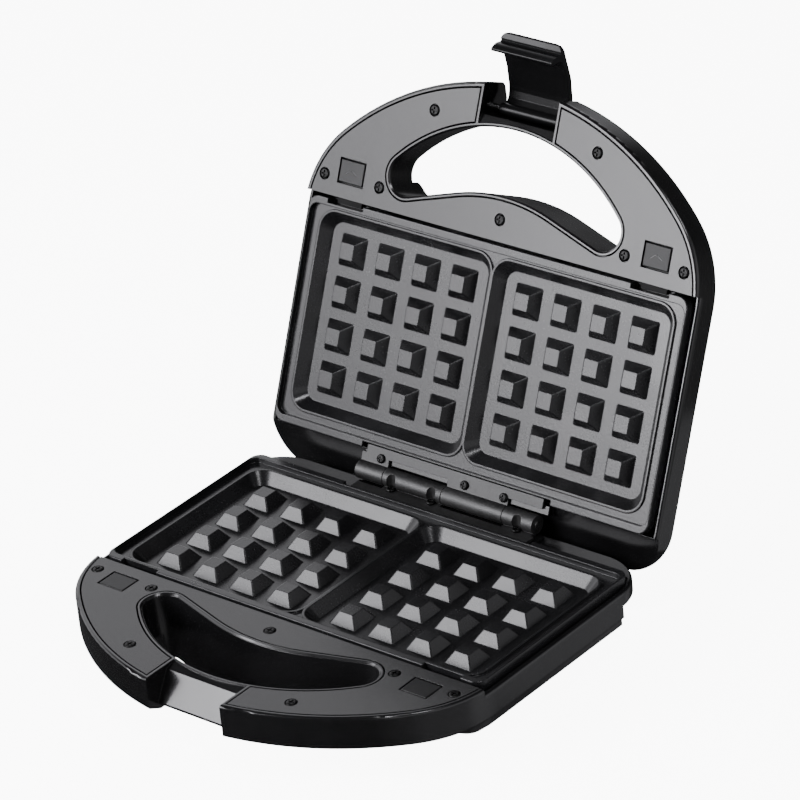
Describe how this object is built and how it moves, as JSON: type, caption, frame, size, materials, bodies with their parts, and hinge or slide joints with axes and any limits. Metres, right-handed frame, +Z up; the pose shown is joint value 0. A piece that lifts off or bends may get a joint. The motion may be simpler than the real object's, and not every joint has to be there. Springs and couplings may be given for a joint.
{
  "type": "two-slice sandwich and waffle maker",
  "caption": "Hinged two-slice countertop cooker, lid open, with square-stud cooking plates, looped handles and a hook latch.",
  "frame": {"origin": "middle of the bottom of the bounding box at rest, with the lid open: on the surface that the feet stand on", "axes": "+X to the right as the user faces the handles, +Y from the handles to the hinge, +Z up"},
  "size_m": [0.2364, 0.2916, 0.2432],
  "materials": {
    "housing_gloss": "glossy black",
    "cover_satin": "satin dark grey",
    "button_satin": "satin dark grey",
    "latch_plastic": "satin black",
    "nonstick": "satin non-stick coating on cast aluminium",
    "element_steel": "oxidised tube",
    "sheet_steel": "bright sheet",
    "zinc_steel": "zinc plated",
    "blackened_steel": "black oxide",
    "pin_steel": "ground",
    "ceramic": "off-white ceramic or mineral filled plastic",
    "foot_rubber": "matt black",
    "gland_plastic": "matt black",
    "lens_red": "translucent red",
    "lens_green": "translucent green",
    "board": "bare laminate",
    "catch_steel": "black oxide"
  },
  "bodies": {
    "base": {"lower_housing": "housing_gloss", "lower_handle_cover": "cover_satin", "lower_cover_screws": "blackened_steel", "lower_cooking_plate": "nonstick", "lower_heating_element": "element_steel", "lower_element_clips": "sheet_steel", "lower_reflector_tray": "sheet_steel", "lower_tray_screws": "zinc_steel", "lower_thermostat": "ceramic", "lower_catch_spring_left": "zinc_steel", "lower_catch_spring_right": "zinc_steel", "lower_hinge_leaf": "blackened_steel", "lower_hinge_screws": "blackened_steel", "thermal_fuse": "zinc_steel", "fuse_clip": "zinc_steel", "terminal_block": "ceramic", "cord_gland": "gland_plastic", "foot_front_left": "foot_rubber", "foot_front_right": "foot_rubber", "foot_rear_left": "foot_rubber", "foot_rear_right": "foot_rubber", "hinge_pin": "pin_steel"},
    "lid": {"upper_housing": "housing_gloss", "upper_handle_cover": "cover_satin", "upper_cover_screws": "blackened_steel", "upper_cooking_plate": "nonstick", "upper_heating_element": "element_steel", "upper_element_clips": "sheet_steel", "upper_reflector_tray": "sheet_steel", "upper_tray_screws": "zinc_steel", "upper_thermostat": "ceramic", "upper_catch_spring_left": "zinc_steel", "upper_catch_spring_right": "zinc_steel", "upper_hinge_leaf": "blackened_steel", "upper_hinge_screws": "blackened_steel", "latch_pin": "pin_steel", "power_lamp_lens": "lens_red", "ready_lamp_lens": "lens_green", "lamp_board": "board"},
    "latch": {"latch": "latch_plastic"},
    "lower_release_button_left": {"lower_release_button_left": "button_satin"},
    "lower_plate_catch_left": {"lower_plate_catch_left": "catch_steel"},
    "lower_release_button_right": {"lower_release_button_right": "button_satin"},
    "lower_plate_catch_right": {"lower_plate_catch_right": "catch_steel"},
    "upper_release_button_left": {"upper_release_button_left": "button_satin"},
    "upper_plate_catch_left": {"upper_plate_catch_left": "catch_steel"},
    "upper_release_button_right": {"upper_release_button_right": "button_satin"},
    "upper_plate_catch_right": {"upper_plate_catch_right": "catch_steel"}
  },
  "joints": [
    {"name": "lid_hinge", "type": "hinge", "parent": "base", "child": "lid", "pos_m": [0, 0.05253, 0.03795], "axis": [1, 0, 0], "range_deg": [0, 113.28]},
    {"name": "latch_hinge", "type": "hinge", "parent": "lid", "child": "latch", "pos_m": [0, 0.13676, 0.20474], "axis": [1, 0, 0], "range_deg": [-30, 51.7]},
    {"name": "lower_release_button_left_press", "type": "slide", "parent": "base", "child": "lower_release_button_left", "axis": [0, 0, -1], "range_m": [0, 0.003], "stiffness_N_per_m": 250},
    {"name": "lower_plate_catch_left_slide", "type": "slide", "parent": "base", "child": "lower_plate_catch_left", "axis": [0, -1, 0], "range_m": [0, 0.0024], "deforming": ["lower_catch_spring_left"]},
    {"name": "lower_release_button_right_press", "type": "slide", "parent": "base", "child": "lower_release_button_right", "axis": [0, 0, -1], "range_m": [0, 0.003], "stiffness_N_per_m": 250},
    {"name": "lower_plate_catch_right_slide", "type": "slide", "parent": "base", "child": "lower_plate_catch_right", "axis": [0, -1, 0], "range_m": [0, 0.0024], "deforming": ["lower_catch_spring_right"]},
    {"name": "upper_release_button_left_press", "type": "slide", "parent": "lid", "child": "upper_release_button_left", "axis": [0, 0.9186, -0.3952], "range_m": [0, 0.003], "stiffness_N_per_m": 250},
    {"name": "upper_plate_catch_left_slide", "type": "slide", "parent": "lid", "child": "upper_plate_catch_left", "axis": [0, 0.3952, 0.9186], "range_m": [0, 0.0024], "deforming": ["upper_catch_spring_left"]},
    {"name": "upper_release_button_right_press", "type": "slide", "parent": "lid", "child": "upper_release_button_right", "axis": [0, 0.9186, -0.3952], "range_m": [0, 0.003], "stiffness_N_per_m": 250},
    {"name": "upper_plate_catch_right_slide", "type": "slide", "parent": "lid", "child": "upper_plate_catch_right", "axis": [0, 0.3952, 0.9186], "range_m": [0, 0.0024], "deforming": ["upper_catch_spring_right"]}
  ],
  "couplings": [
    {"joint": "lower_plate_catch_left_slide", "follows": "lower_release_button_left_press", "ratio": 0.8},
    {"joint": "lower_plate_catch_right_slide", "follows": "lower_release_button_right_press", "ratio": 0.8},
    {"joint": "upper_plate_catch_left_slide", "follows": "upper_release_button_left_press", "ratio": 0.8},
    {"joint": "upper_plate_catch_right_slide", "follows": "upper_release_button_right_press", "ratio": 0.8}
  ]
}
